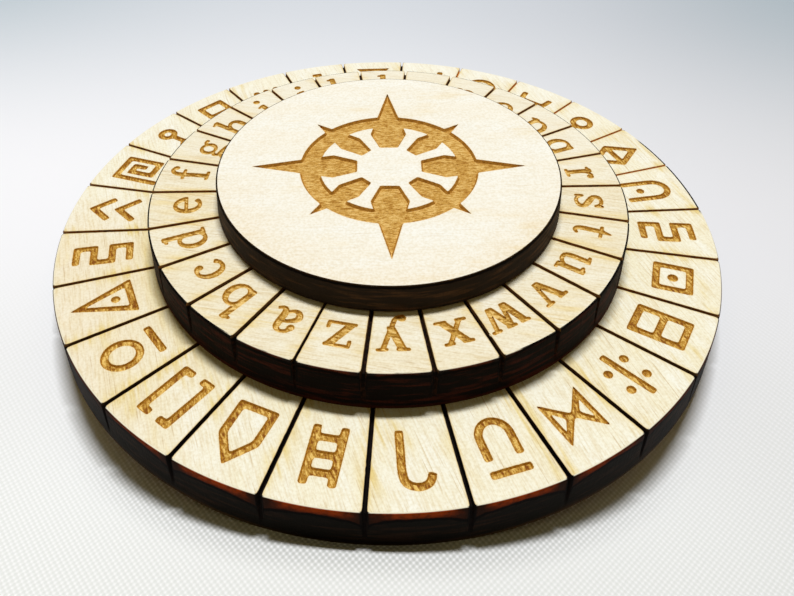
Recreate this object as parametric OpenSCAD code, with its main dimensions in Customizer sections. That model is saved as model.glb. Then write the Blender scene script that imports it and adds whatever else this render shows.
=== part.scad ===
// Cipher wheel of three laser-cut plywood discs. The middle disc carries the alphabet and turns by hand on a
// hidden hub between the base disc and the cap disc. Millimetres, +Z up. The origin is the centre of the underside.

/* [Base disc] */
// Diameter of the base disc at its underside
base_d = 76.2; // [66:0.1:100]
// Thickness of the base disc's plywood
base_t = 4.8; // [3:0.1:9]
// Height of the notches that the score lines leave in the base disc's rim
base_notch_h = 3.6; // [1:0.1:4.6]

/* [Letter disc] */
// Diameter of the letter disc at its underside
letter_d = 54.4; // [48:0.1:62]
// Thickness of the letter disc's plywood, which the hub shares
letter_t = 4.7; // [3:0.1:9]
// Height of the notches in the letter disc's rim
letter_notch_h = 3.4; // [1:0.1:4.6]
// Turn of the letter disc away from the place where its score lines meet those of the base, in degrees
letter_turn = -1.9; // [-6:0.1:6]

/* [Cap disc] */
// Diameter of the cap disc at its underside
cap_d = 38.8; // [33:0.1:44]
// Thickness of the cap disc's plywood
cap_t = 3.1; // [2:0.1:6]
// Turn of the cap disc and its emblem, in degrees
cap_turn = 4; // [-45:1:45]

/* [Laser-cut edges] */
// How much wider a disc is at its underside than at its top, on each side, where the beam spread
edge_taper = 0.16; // [0:0.01:0.4]
// Radius of the burnt top corner of a disc
rim_round = 0.2; // [0.05:0.01:0.5]

/* [Score lines] */
// Number of cells in each ring, one for each letter
cells = 26; // [6:1:40]
// Width of a score line at the face
score_w = 0.42; // [0.2:0.01:0.8]
// Width of a score line at its floor
score_floor_w = 0.2; // [0.05:0.01:0.4]
// Depth of a score line
score_depth = 0.5; // [0.2:0.05:1]
// Depth of a rim notch at the top of the rim
notch_depth = 0.45; // [0.1:0.05:1]
// How far a score line runs on under the disc above it
score_under = 1.6; // [0.5:0.1:3]

/* [Hub, spacer and dowel] */
// Diameter of the hub, on which the letter disc turns
hub_d = 25.4; // [18:0.1:28]
// Radial running clearance between the hub and the letter disc's bore
run_gap = 0.08; // [0.02:0.01:0.1]
// Thickness of the card spacer under the hub, which gives the letter disc its end play
spacer_t = 0.2; // [0.15:0.05:0.8]
// Width by which the spacer stays inside the hub's edge
spacer_inset = 0.5; // [0.2:0.1:2]
// Height at which the letter disc floats above the base disc
letter_lift = 0.06; // [0.03:0.01:0.12]
// Diameter of the centring dowel
dowel_d = 6.35; // [4:0.05:12]
// Glue line around the dowel, on the radius
glue_gap = 0.04; // [0.02:0.01:0.1]
// Width of the chamfer at the dowel's ends
dowel_chamfer = 0.4; // [0.1:0.1:1]
// Depth at which the dowel's ends stay below the faces around them
dowel_recess = 0.2; // [0.1:0.05:0.5]

/* [Emblem on the cap] */
// Depth of the engraved compass star
emblem_depth = 0.3; // [0.1:0.05:1]
// Outer radius of the emblem's ring
ring_r = 10; // [7:0.1:12]
// Width of the emblem's ring
ring_w = 2.2; // [0.5:0.1:3.2]
// Radius that the long points of the star reach
long_point_r = 15.4; // [12:0.1:16]
// Radius that the short points of the star reach
short_point_r = 12; // [10.5:0.1:14]
// Radius at which the points of the star begin
point_start_r = 3.6; // [2:0.1:5]
// Radius at which the points of the star are widest
point_wide_r = 6.3; // [5.6:0.1:7.5]
// Width of a long point at its widest
long_point_w = 4.2; // [1.5:0.1:5]
// Width of a short point at its widest
short_point_w = 3; // [1:0.1:3.6]

/* [Hidden] */
$fn = 180;

// Colours of the parts, as the photograph shows them
birch = "wheat";
pale_birch = "cornsilk";
core_wood = "burlywood";
card = "tan";
dowel_wood = "peru";

// Overshoot that makes each cut pass clean through a face
cut_past = 1;
// Number of steps in the arc of a burnt corner
round_steps = 4;
// A star has this many points, long and short in turn
star_points = 8;

cell_angle = 360 / cells;
bore_r = hub_d / 2 + run_gap;
spacer_z = base_t;
hub_z = spacer_z + spacer_t;
hub_t = letter_t;
cap_z = hub_z + hub_t;
letter_z = base_t + letter_lift;
dowel_hole_r = dowel_d / 2 + glue_gap;
dowel_len = cap_z - 2 * dowel_recess;

// Radius of a disc's top rim, outside its burnt corner
function rim_r(d) = d / 2 - edge_taper;

// Half section of a laser-cut disc or ring: a straight wall inside, and a leaning side with a burnt top corner
function disc_section(d, t, hole_r) = concat(
    [[hole_r, 0], [d / 2, 0]],
    [for (i = [0 : round_steps])
        let (a = 90 * i / round_steps)
        [rim_r(d) - rim_round * (1 - cos(a)), t - rim_round * (1 - sin(a))]],
    [[hole_r, t]]
);

module cut_disc(d, t, hole_r = 0) {
    rotate_extrude() polygon(disc_section(d, t, hole_r));
}

// One score line along +X: a tapered groove in the face, which runs over the rim and fades out down the side
module score_line(d, t, start_r, notch_h) {
    groove_len = rim_r(d) - start_r + cut_past;
    lean = atan(notch_depth / notch_h);
    // the groove's sides keep their slope above the face
    flare = (score_w - score_floor_w) / score_depth * cut_past;
    translate([start_r, 0, t - score_depth])
        rotate([90, 0, 90])
            linear_extrude(groove_len)
                polygon([
                    [-score_floor_w / 2, 0],
                    [score_floor_w / 2, 0],
                    [(score_w + flare) / 2, score_depth + cut_past],
                    [-(score_w + flare) / 2, score_depth + cut_past]
                ]);
    translate([rim_r(d), 0, t - notch_h])
        rotate([0, -lean, 0])
            linear_extrude(notch_h + cut_past)
                polygon([
                    [0, -score_floor_w / 2],
                    [cut_past, -score_w / 2],
                    [cut_past, score_w / 2],
                    [0, score_floor_w / 2]
                ]);
}

// The ring of score lines starts with one on -Y, the front of the wheel
module score_lines(d, t, start_r, notch_h) {
    for (i = [0 : cells - 1])
        rotate(i * cell_angle - 90)
            score_line(d, t, start_r, notch_h);
}

// A point of the star, a kite along +Y with a flat foot
module star_point(reach, width) {
    foot = width / 2;
    polygon([
        [-foot / 2, point_start_r],
        [foot / 2, point_start_r],
        [width / 2, point_wide_r],
        [0, reach],
        [-width / 2, point_wide_r]
    ]);
}

// Compass star with a ring, a traditional figure
module compass_star() {
    difference() {
        circle(ring_r);
        circle(ring_r - ring_w);
    }
    for (i = [0 : star_points - 1])
        rotate(i * 360 / star_points)
            if (i % 2 == 0) star_point(long_point_r, long_point_w);
            else star_point(short_point_r, short_point_w);
}

module base_disc() {
    color(birch)
        difference() {
            cut_disc(base_d, base_t, dowel_hole_r);
            score_lines(base_d, base_t, letter_d / 2 - score_under, base_notch_h);
        }
}

// Thin card ring that keeps the cap clear of the letter disc
module hub_spacer() {
    color(card)
        translate([0, 0, spacer_z])
            difference() {
                cylinder(h = spacer_t, r = hub_d / 2 - spacer_inset);
                translate([0, 0, -cut_past])
                    cylinder(h = spacer_t + 2 * cut_past, r = dowel_hole_r);
            }
}

module hub() {
    color(core_wood)
        translate([0, 0, hub_z])
            difference() {
                cylinder(h = hub_t, r = hub_d / 2);
                translate([0, 0, -cut_past])
                    cylinder(h = hub_t + 2 * cut_past, r = dowel_hole_r);
            }
}

// The dowel centres the hub on the base disc
module centring_dowel() {
    r = dowel_d / 2;
    color(dowel_wood)
        translate([0, 0, dowel_recess])
            rotate_extrude()
                polygon([
                    [0, 0],
                    [r - dowel_chamfer, 0],
                    [r, dowel_chamfer],
                    [r, dowel_len - dowel_chamfer],
                    [r - dowel_chamfer, dowel_len],
                    [0, dowel_len]
                ]);
}

module letter_disc() {
    color(birch)
        translate([0, 0, letter_z])
            rotate(letter_turn)
                difference() {
                    cut_disc(letter_d, letter_t, bore_r);
                    score_lines(letter_d, letter_t, cap_d / 2 - score_under, letter_notch_h);
                }
}

module cap_disc() {
    color(pale_birch)
        translate([0, 0, cap_z])
            rotate(cap_turn)
                difference() {
                    cut_disc(cap_d, cap_t);
                    translate([0, 0, cap_t - emblem_depth])
                        linear_extrude(emblem_depth + cut_past)
                            compass_star();
                }
}

base_disc();
hub_spacer();
hub();
centring_dowel();
letter_disc();
cap_disc();
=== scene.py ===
"""The look of a cipher wheel of three laser-cut plywood discs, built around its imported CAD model.

Lengths are in millimetres until a mesh is made. A disc is drawn in its own frame, with a score line on -Y,
and its mesh is turned to its place on the wheel.
"""
import math

import bpy
import numpy as np
from mathutils import Matrix, Vector, noise
from mathutils.geometry import delaunay_2d_cdt


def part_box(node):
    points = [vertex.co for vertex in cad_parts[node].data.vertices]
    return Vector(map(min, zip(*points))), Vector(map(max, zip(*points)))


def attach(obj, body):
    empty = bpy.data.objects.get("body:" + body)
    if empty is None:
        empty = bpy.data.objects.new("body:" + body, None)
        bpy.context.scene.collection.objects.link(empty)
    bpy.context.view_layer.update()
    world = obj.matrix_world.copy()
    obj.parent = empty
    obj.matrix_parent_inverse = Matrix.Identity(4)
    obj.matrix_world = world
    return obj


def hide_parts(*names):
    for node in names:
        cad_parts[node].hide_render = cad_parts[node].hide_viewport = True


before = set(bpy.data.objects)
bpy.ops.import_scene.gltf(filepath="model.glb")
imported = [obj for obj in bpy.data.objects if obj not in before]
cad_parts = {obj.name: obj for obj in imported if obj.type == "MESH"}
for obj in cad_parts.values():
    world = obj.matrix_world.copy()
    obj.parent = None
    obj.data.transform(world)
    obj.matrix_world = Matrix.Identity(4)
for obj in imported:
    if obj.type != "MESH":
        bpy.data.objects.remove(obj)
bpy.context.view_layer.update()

MM = 0.001

# Cells and score lines, which both rings share
CELLS = 26
CELL = 2 * math.pi / CELLS
FRONT = -math.pi / 2
SCORE_W = 0.42
LIGHT_SCORE_W = 0.26
SCORE_FLOOR_W = 0.2
SCORE_DEPTH = 0.5
NOTCH_DEPTH = 0.45
SCORE_UNDER = 1.6
SCORE_STEP = 0.4
SCORE_WANDER = 0.035
# Steps in the noise that makes a score line's edges wander, for a millimetre along it and from line to line
SWAY_ALONG = 2.3
SWAY_APART = 5.1
# The beam cut a little wider at the front than at the back, and flared each score line at the rim
SCORE_FRONT_W = 0.025
SCORE_FLARE = 0.12
# Shares of the flare at the rows of corners on the face, from the inner edge of the rim band outward
FACE_FLARES = [0.0, 0.25, 0.6]

# Rims of the discs
EDGE_TAPER = 0.16
RIM_ROUND = 0.2
ROUND_STEPS = 4
RIM_BAND = 0.6
BURNT_CORNER = 0.1

# Scorch around cuts: how far it reaches from the cut, and how dark it still is there
NEAR_BURN = (0.08, 0.24)
FAR_BURN = (0.3, 0.0)
ENGRAVED_BURN = 0.4

# Engravings
WALL_DRAFT = 0.7
EDGE_STEP = 0.1
EDGE_WANDER = 0.032
WANDER_LENGTH = 0.14
CORNER_PASSES = 3
MARK_CORNER_PASSES = 8
FLOOR_EDGE = 0.12
# A point counts as this far from an edge when it is at least this share of the distance away
APART_SHARE = 0.85
# Shares of the slope that a wall tries in turn. A point with little room holds back this many on each side.
DRAFT_SHARES = (0.25, 0.5, 0.75, 1.0)
DRAFT_PASSES = 2

# Columns of corners around a plain rim, and from one score line to the next
PLAIN_COLUMNS = 360
CELL_COLUMNS = 13
# Rows of corners down a side, to the foot of the notches and below it
NOTCH_ROWS = 6
FOOT_ROWS = 4
# Scorch near the edge of the face, and around a disc's hole
RIM_BURN = 0.04
HOLE_BURN = 0.3
# Edges that meet at more than this angle stay sharp
SHARP_ANGLE = math.radians(32)
# Lengths below this are rounding errors, and corners closer than this are one
TINY = 1e-6
WELD_REACH = 1e-5

# Running and glue clearances inside the wheel
RUN_GAP = 0.08
GLUE_GAP = 0.04


def size_of(node):
    """Radius, lowest and highest point of a round CAD node, in millimetres."""
    low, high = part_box(node)
    radius = min(-low.x, -low.y, high.x, high.y)
    return radius / MM, low.z / MM, high.z / MM


def turning(angle):
    """The unit vector at an angle and the one on its left, as a matrix that turns rows of x and y by it."""
    c, s = math.cos(angle), math.sin(angle)
    return np.array([(c, s), (-s, c)])


def score_angle(i):
    """Angle of score line i, counted counterclockwise from the front one."""
    return FRONT + i * CELL


def put(name, data):
    """A new object in the scene."""
    obj = bpy.data.objects.new(name, data)
    bpy.context.scene.collection.objects.link(obj)
    return obj


# Shapes of pen strokes: each gives a list of loops, solid ones counterclockwise and holes clockwise

OVAL_STEPS = 40
BLOT_STEPS = 24
CURVE_STEPS = 8
# Degrees from one corner of a bow to the next, and how fast its stroke swells towards the sides
BOW_STEP = 8
BOW_SWELL = 1.4
# Least cosine of half a turn that the mitre of a stroke, and of a loop's edge, still follows
STROKE_MITRE = 0.5
EDGE_MITRE = 0.6


def bar(x0, y0, x1, y1):
    return [np.array([(x0, y0), (x1, y0), (x1, y1), (x0, y1)], float)]


def slant(x0, y0, x1, y1, w):
    """A diagonal stroke with level ends, from its top to its bottom."""
    h = w / 2
    return [np.array([(x1 - h, y1), (x1 + h, y1), (x0 + h, y0), (x0 - h, y0)], float)]


def oval(x, y, rx, ry, steps=OVAL_STEPS):
    a = np.arange(steps) * 2 * math.pi / steps
    return np.stack([x + rx * np.cos(a), y + ry * np.sin(a)], axis=1)


def blot(x, y, r=0.5):
    return [oval(x, y, r, r, BLOT_STEPS)]


def hoop(x, y, rx, ry, side, end=None):
    """An oval ring; side is its width at the sides and end its width at top and bottom."""
    end = side if end is None else end
    return [oval(x, y, rx, ry), oval(x, y, rx - side, ry - end)[::-1]]


def along(points):
    """Points on a smooth curve through the given ones, which may carry widths."""
    p = np.array(points, float)
    p = np.vstack([2 * p[0] - p[1], p, 2 * p[-1] - p[-2]])
    out = []
    for a, b, c, d in zip(p, p[1:], p[2:], p[3:]):
        for t in np.linspace(0, 1, CURVE_STEPS, endpoint=False):
            bend = (2 * a - 5 * b + 4 * c - d) * t**2 + (3 * b - a - 3 * c + d) * t**3
            out.append(0.5 * (2 * b + (c - a) * t + bend))
    out.append(p[-2])
    return np.array(out)


def runs(loop):
    """The runs that lead to each point of a closed loop and away from it."""
    return loop - np.roll(loop, 1, axis=0), np.roll(loop, -1, axis=0) - loop


def normals(before, after, reach, mitre_limit):
    """Normals on the right of a line, longer at corners, from the runs before and after each point."""
    before = before / np.linalg.norm(before, axis=1)[:, None]
    after = after / np.linalg.norm(after, axis=1)[:, None]
    middle = before + after
    middle = middle / np.maximum(np.linalg.norm(middle, axis=1), 1e-9)[:, None]
    mitre = 1 / np.maximum((middle * after).sum(axis=1), mitre_limit)
    return np.stack([middle[:, 1], -middle[:, 0]], axis=1) * (mitre * reach)[:, None]


def outward(loop):
    """Unit normals that point away from the solid side of a loop, lengthened at corners."""
    return normals(*runs(loop), 1.0, EDGE_MITRE)


def sides(path, closed):
    """The two edges of a stroke along points of x, y and width, mitred at its corners."""
    xy = path[:, :2]
    steps = np.diff(xy, axis=0)
    before, after = runs(xy) if closed else (np.vstack([steps[:1], steps]), np.vstack([steps, steps[-1:]]))
    normal = normals(before, after, path[:, 2] / 2, STROKE_MITRE)
    return xy + normal, xy - normal


def area(loop):
    x, y = loop[:, 0], loop[:, 1]
    return 0.5 * float((x * np.roll(y, -1) - y * np.roll(x, -1)).sum())


def counterclockwise(loop):
    return loop if area(loop) > 0 else loop[::-1]


def ribbon(path):
    """A stroke with two ends along points of x, y and width."""
    right, left = sides(path, closed=False)
    return [counterclockwise(np.vstack([right, left[::-1]]))]


def pen(*points):
    """A smooth stroke through points of x, y and width."""
    return ribbon(along(points))


def rod(points, w, closed=False):
    """A stroke of even width with straight runs and mitred corners."""
    path = np.array([(x, y, w) for x, y in points], float)
    if not closed:
        return ribbon(path)
    inner, outer = sorted(sides(path, closed), key=lambda loop: abs(area(loop)))
    return [counterclockwise(outer), counterclockwise(inner)[::-1]]


def bow(x, y, rx, ry, start, end, side, thin):
    """Part of an oval from one angle to another, wide at the sides and thin at top and bottom."""
    steps = max(6, round(abs(end - start) / BOW_STEP))
    a = np.radians(np.linspace(start, end, steps + 1))
    width = thin + (side - thin) * np.abs(np.cos(a)) ** BOW_SWELL
    return ribbon(np.stack([x + rx * np.cos(a), y + ry * np.sin(a), width], axis=1))


# Letterforms: a plain book face, in millimetres above the baseline
X = 3.05
ASCENT = 4.55
DESCENT = -1.35
STEM = 0.6
SLAB = 0.27
SIDE = 0.62
HAIR = 0.3
DOT_Y = 4.1


def stem(x, y0, y1):
    return bar(x - STEM / 2, y0, x + STEM / 2, y1)


def foot(x, y=0.0, left=0.62, right=0.62):
    return bar(x - left, y, x + right, y + SLAB)


def head(x0, x1):
    return bar(x0, X - SLAB, x1, X)


def flag(x, y):
    """The slanted serif at the top left of a stem."""
    right = x + STEM / 2
    tip = x - 0.72
    return [np.array([(tip, y - 0.46), (right, y - 0.46), (right, y), (x - 0.15, y - 0.1), (tip, y - 0.24)])]


def bowl(x, rx, start, end):
    """Part of a letter's round, from one angle to another."""
    return bow(x, 1.5, rx, 1.36, start, end, SIDE, HAIR)


def arch(x0, x1):
    """The shoulder from one stem to the next, with the second stem."""
    shoulder = [(x0 + 0.17, 2.0, 0.28), (x0 + 0.6, 2.68, 0.31), (x1 - 0.6, 2.88, 0.4), (x1 - 0.1, 2.5, 0.56)]
    return pen(*shoulder, (x1, 1.9, STEM), (x1, 1.0, STEM), (x1, 0.05, STEM))


def post(x, top=X):
    """A stem with its flag and foot."""
    return stem(x, 0, top) + flag(x, top) + foot(x)


LETTERS = {
    "a": pen(
        (-0.92, 2.2, 0.5), (-0.7, 2.74, 0.36), (-0.1, 2.95, 0.3), (0.4, 2.7, 0.48), (0.52, 2.1, STEM),
        (0.52, 0.9, STEM), (0.68, 0.32, 0.46), (1.05, 0.16, 0.32), (1.45, 0.4, 0.26),
    )
    + blot(-0.92, 2.2, 0.34)
    + pen(
        (0.5, 1.8, 0.28), (-0.35, 1.52, 0.36), (-1.0, 0.95, 0.58), (-0.85, 0.35, 0.5), (-0.3, 0.14, 0.34),
        (0.45, 0.62, 0.28),
    ),
    "b": stem(-0.84, 0.1, ASCENT) + flag(-0.84, ASCENT) + bowl(0.1, 1.1, -152, 152),
    "c": bowl(0.1, 1.08, 46, 318) + blot(0.8, 2.32, 0.34),
    "d": stem(0.74, 0, ASCENT)
    + flag(0.74, ASCENT)
    + foot(0.74, left=0, right=0.66)
    + bowl(-0.12, 1.1, 28, 332),
    "e": bowl(0.06, 1.1, 3, 316) + bar(-1.05, 1.52, 1.44, 1.78),
    "f": pen(
        (-0.2, 0.05, STEM), (-0.2, 1.6, STEM), (-0.2, 3.2, STEM), (0.0, 4.0, 0.46), (0.45, 4.38, 0.34),
        (0.9, 4.26, 0.36),
    )
    + blot(0.95, 4.05, 0.32)
    + head(-1.05, 0.75)
    + foot(-0.2, left=0.75, right=0.8),
    "g": hoop(-0.15, 2.06, 1.12, 0.98, 0.5, 0.27)
    + pen((0.5, 2.7, 0.3), (0.95, 2.98, 0.34), (1.42, 2.92, 0.38))
    + pen(
        (-0.6, 1.2, 0.3), (-1.05, 0.85, 0.36), (-0.75, 0.42, 0.44), (0.15, 0.32, 0.46), (1.05, 0.1, 0.5),
        (1.25, -0.45, 0.46), (0.65, -1.05, 0.34), (-0.35, -1.2, 0.3), (-1.15, -0.95, 0.38),
        (-1.25, -0.45, 0.38), (-0.7, 0.25, 0.3),
    ),
    "h": post(-0.95, ASCENT) + arch(-0.95, 0.95) + foot(0.95),
    "i": post(0) + blot(-0.06, DOT_Y, 0.38),
    "j": pen((0.2, 3.0, STEM), (0.2, 1.4, STEM), (0.2, -0.2, STEM), (0.05, -0.85, 0.46), (-0.5, -1.2, 0.3))
    + flag(0.2, X)
    + blot(-0.6, -1.02, 0.34)
    + blot(0.14, DOT_Y, 0.38),
    "k": post(-0.95, ASCENT)
    + slant(0.85, X, -0.85, 1.15, 0.42)
    + head(0.25, 1.45)
    + slant(-0.1, 1.9, 1.0, 0, 0.72)
    + foot(1.0, left=0.55, right=0.6),
    "l": post(0, ASCENT),
    "m": post(-1.6)
    + arch(-1.6, 0.02)
    + foot(0.02, left=0.5, right=0.5)
    + arch(0.02, 1.64)
    + foot(1.64, left=0.5),
    "n": post(-0.95) + arch(-0.95, 0.95) + foot(0.95),
    "o": hoop(0, 1.5, 1.42, 1.54, SIDE, HAIR),
    "p": stem(-0.86, DESCENT, X) + flag(-0.86, X) + foot(-0.86, DESCENT) + bowl(0.1, 1.1, -150, 150),
    "q": stem(0.8, DESCENT, X - 0.1) + foot(0.8, DESCENT) + bowl(-0.12, 1.1, 28, 332),
    "r": post(-0.45)
    + foot(-0.45, right=0.8)
    + pen((-0.3, 1.9, 0.28), (0.0, 2.6, 0.32), (0.5, 2.88, 0.38))
    + blot(0.7, 2.62, 0.35),
    "s": pen(
        (0.9, 2.25, 0.3), (0.5, 2.8, 0.3), (-0.15, 2.92, 0.32), (-0.76, 2.58, 0.46), (-0.66, 1.98, 0.56),
        (0.1, 1.5, 0.64), (0.8, 1.02, 0.56), (0.84, 0.46, 0.48), (0.15, 0.12, 0.32), (-0.5, 0.2, 0.3),
        (-0.96, 0.8, 0.3),
    )
    + bar(0.8, 2.1, 1.08, X)
    + bar(-1.12, 0, -0.84, 0.98),
    "t": pen(
        (-0.1, 3.2, 0.52), (-0.1, 2.0, 0.62), (-0.1, 0.9, 0.62), (0.02, 0.34, 0.5), (0.4, 0.13, 0.34),
        (0.86, 0.42, 0.26),
    )
    + [np.array([(-0.42, 2.8), (0.2, 2.8), (0.2, 4.0), (0.06, 4.0)])]
    + head(-0.95, 0.95),
    "u": pen(
        (-0.95, 2.95, STEM), (-0.95, 2.0, STEM), (-0.95, 1.0, STEM), (-0.78, 0.34, 0.5), (-0.25, 0.14, 0.34),
        (0.4, 0.42, 0.3), (0.8, 0.98, 0.28),
    )
    + stem(0.86, 0, X)
    + flag(-0.95, X)
    + flag(0.86, X)
    + foot(0.86, left=0, right=0.66),
    "v": slant(-0.95, X, 0.02, 0, 0.72) + slant(1.0, X, 0.12, 0, 0.38) + head(-1.6, -0.38) + head(0.48, 1.55),
    "w": slant(-1.65, X, -0.86, 0, 0.7)
    + slant(-0.12, X, -0.76, 0, 0.38)
    + slant(-0.12, X, 0.72, 0, 0.7)
    + slant(1.58, X, 0.84, 0, 0.38)
    + head(-2.2, -1.15)
    + head(-0.65, 0.42)
    + head(1.1, 2.12),
    "x": slant(-0.95, X, 0.95, 0, 0.78)
    + slant(0.92, X, -0.98, 0, 0.42)
    + head(-1.52, -0.4)
    + head(0.42, 1.4)
    + foot(-0.98, left=0.6, right=0.48)
    + foot(0.95, left=0.55, right=0.66),
    "y": slant(-0.95, X, 0.14, 0.1, 0.72)
    + slant(1.0, X, 0.02, 0.05, 0.4)
    + pen((0.08, 0.3, 0.38), (-0.16, -0.5, 0.38), (-0.45, -1.05, 0.34), (-0.9, -1.2, 0.34))
    + blot(-0.98, -1.0, 0.38)
    + head(-1.6, -0.38)
    + head(0.48, 1.55),
    "z": bar(-1.22, X - SLAB, 1.2, X)
    + foot(0, left=1.4, right=1.4)
    + slant(0.8, X, -0.98, 0, 0.8)
    + bar(-1.3, 2.15, -1.05, X)
    + bar(1.14, 0, 1.4, 0.88),
}

# How far a letter sits from the middle of its cell, towards the letter's right
LETTER_SHIFT = {
    "b": 0.45, "e": 0.3, "f": 0.6, "g": 0.35, "h": 0.25, "o": 0.35, "p": 0.45, "r": 0.35, "t": -0.4,
    "w": 0.3, "y": 0.45,
}

# Marks of the base ring: plain geometric figures about a centre, in strokes of one width
PEN = 0.8
ARCH_STEPS = 16


def line(*points):
    return rod(points, PEN)


def shape(*points):
    return rod(points, PEN, closed=True)


def level(half, y):
    return line((-half, y), (half, y))


def upright(x, y0, y1):
    return line((x, y0), (x, y1))


def dots(*places):
    return [loop for x, y in places for loop in blot(x, y)]


def square(half, low, high):
    return shape((-half, low), (half, low), (half, high), (-half, high))


def arch_line(x, y, rx, ry, leg_y):
    """Half an oval about x, y, with legs that end at leg_y, in one stroke. It hangs where ry is below 0."""
    turns = [math.pi * i / ARCH_STEPS for i in range(ARCH_STEPS + 1)]
    curve = [(x - rx * math.cos(a), y + ry * math.sin(a)) for a in turns]
    return line((x - rx, leg_y), *curve, (x + rx, leg_y))


CANE = [(-1.6, 1.4), (-1.2, 2.4), (-0.2, 2.75), (0.8, 2.3), (1.1, 1.2), (1.1, -0.8), (1.1, -3.1)]
MARKS = {
    "ladder": upright(-1.3, -3.1, 3.1)
    + upright(1.3, -3.1, 3.1)
    + level(1.3, 1.8)
    + level(1.3, 0)
    + level(1.3, -1.8),
    "house": shape((-1.7, -2.8), (1.7, -2.8), (1.7, 0.6), (0, 2.9), (-1.7, 0.6)),
    "brackets": line((-0.5, 2.7), (-1.7, 2.7), (-1.7, -2.7), (-0.5, -2.7))
    + line((0.5, -2.7), (1.7, -2.7), (1.7, 2.7), (0.5, 2.7)),
    "ring over a bar": hoop(0, 0.9, 2.0, 2.15, PEN) + level(2.0, -2.6),
    "triangle with a dot": shape((-2.0, -2.5), (2.0, -2.5), (0, 3.0)) + blot(0, -0.9),
    "battlement": line(
        (-1.5, -2.9), (1.1, -2.9), (1.1, -1.0), (-1.3, -1.0),
        (-1.3, 1.0), (1.1, 1.0), (1.1, 2.9), (-1.5, 2.9),
    ),
    "two roofs": line((-1.9, 0.5), (0, 2.7), (1.9, 0.5)) + line((-1.9, -2.5), (0, -0.3), (1.9, -2.5)),
    "square spiral": line(
        (-1.9, -2.9), (-1.9, 2.7), (1.9, 2.7), (1.9, -1.5),
        (-0.6, -1.5), (-0.6, 1.3), (0.65, 1.3), (0.65, -0.3),
    ),
    "dumbbell": hoop(0, 1.95, 1.3, 1.25, PEN) + hoop(0, -1.95, 1.3, 1.25, PEN) + upright(0, 0.9, -0.9),
    "signboard": square(1.6, 0.3, 2.8) + upright(0, 0.3, -3.1),
    "three dots over a bar": dots((-1.5, 1.3), (0, 1.3), (1.5, 1.3)) + level(2.1, -1.0),
    "bars that grow": level(0.7, 2.6) + level(1.2, 0.9) + level(1.7, -0.9) + level(2.1, -2.6),
    "hourglass": shape((-1.8, 2.8), (0, 0.5), (1.8, 2.8))
    + shape((-1.8, -2.8), (1.8, -2.8), (0, -0.5))
    + blot(0, 0, 0.4),
    "stairs": line((-1.9, -2.7), (-0.8, -2.7), (-0.8, -0.9), (0.4, -0.9), (0.4, 0.9), (1.6, 0.9), (1.6, 3.0)),
    "umbrella": bow(0, 0.5, 1.85, 2.1, 0, 180, PEN, PEN) + level(2.2, 0.5) + upright(0, 0.5, -3.1),
    "pail": line((-2.0, 2.8), (-1.2, -2.7), (1.2, -2.7), (2.0, 2.8)) + level(1.7, 0.9),
    "key": hoop(0, 1.5, 1.6, 1.55, PEN)
    + upright(0, 0.1, -3.1)
    + line((0, -1.5), (1.5, -1.5))
    + line((0, -2.74), (1.5, -2.74)),
    "barred diamond": shape((0, 3.0), (1.9, 0), (0, -3.0), (-1.9, 0)) + level(1.7, 0),
    "arch with a dot": arch_line(0, 1.0, 1.5, 1.7, -2.9) + blot(0, -0.8),
    "meander": line(
        (1.3, 2.8), (-1.3, 2.8), (-1.3, 0.95), (1.3, 0.95),
        (1.3, -0.95), (-1.3, -0.95), (-1.3, -2.8), (1.3, -2.8),
    ),
    "square with a dot": square(1.8, -1.8, 1.8) + blot(0, 0, 0.6),
    "window": square(1.7, -2.6, 2.6) + level(1.7, 0),
    "post between dots": upright(0, -3.1, 3.1) + dots((-1.4, 1.3), (1.4, 1.3), (-1.4, -1.3), (1.4, -1.3)),
    "bow tie": shape((-2.0, 1.9), (-2.0, -1.9), (-0.3, 0))
    + shape((2.0, 1.9), (0.3, 0), (2.0, -1.9))
    + blot(0, 0, 0.4),
    "cup under a bar": arch_line(0, -1.0, 1.5, -1.7, 1.3) + level(2.0, 2.7),
    "cane": pen(*[(x, y, PEN) for x, y in CANE]),
}

# Emblem of the cap: a compass star with a ring, as in the CAD source
STAR_POINTS = 8
RING_R = 10
RING_W = 2.2
RING_STEPS = 180
RING_HOLE_STEPS = 150
# Reach and width of the points
LONG_POINT = (15.4, 4.2)
SHORT_POINT = (12, 3)
POINT_START_R = 3.6
POINT_WIDE_R = 6.3


def star_point(turn, reach, width):
    """A kite with a flat foot, from the middle outward."""
    half, foot_half = width / 2, width / 4
    right = [(foot_half, POINT_START_R), (half, POINT_WIDE_R)]
    left = [(-half, POINT_WIDE_R), (-foot_half, POINT_START_R)]
    return np.array([*right, (0, reach), *left]) @ turning(turn)


def compass_star():
    hole_r = RING_R - RING_W
    loops = [oval(0, 0, RING_R, RING_R, RING_STEPS), oval(0, 0, hole_r, hole_r, RING_HOLE_STEPS)[::-1]]
    for i in range(STAR_POINTS):
        loops.append(star_point(i * 2 * math.pi / STAR_POINTS, *(SHORT_POINT if i % 2 else LONG_POINT)))
    return loops


# Triangulation of flat faces


def ring_edges(start, count):
    return [(start + i, start + (i + 1) % count) for i in range(count)]


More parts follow.
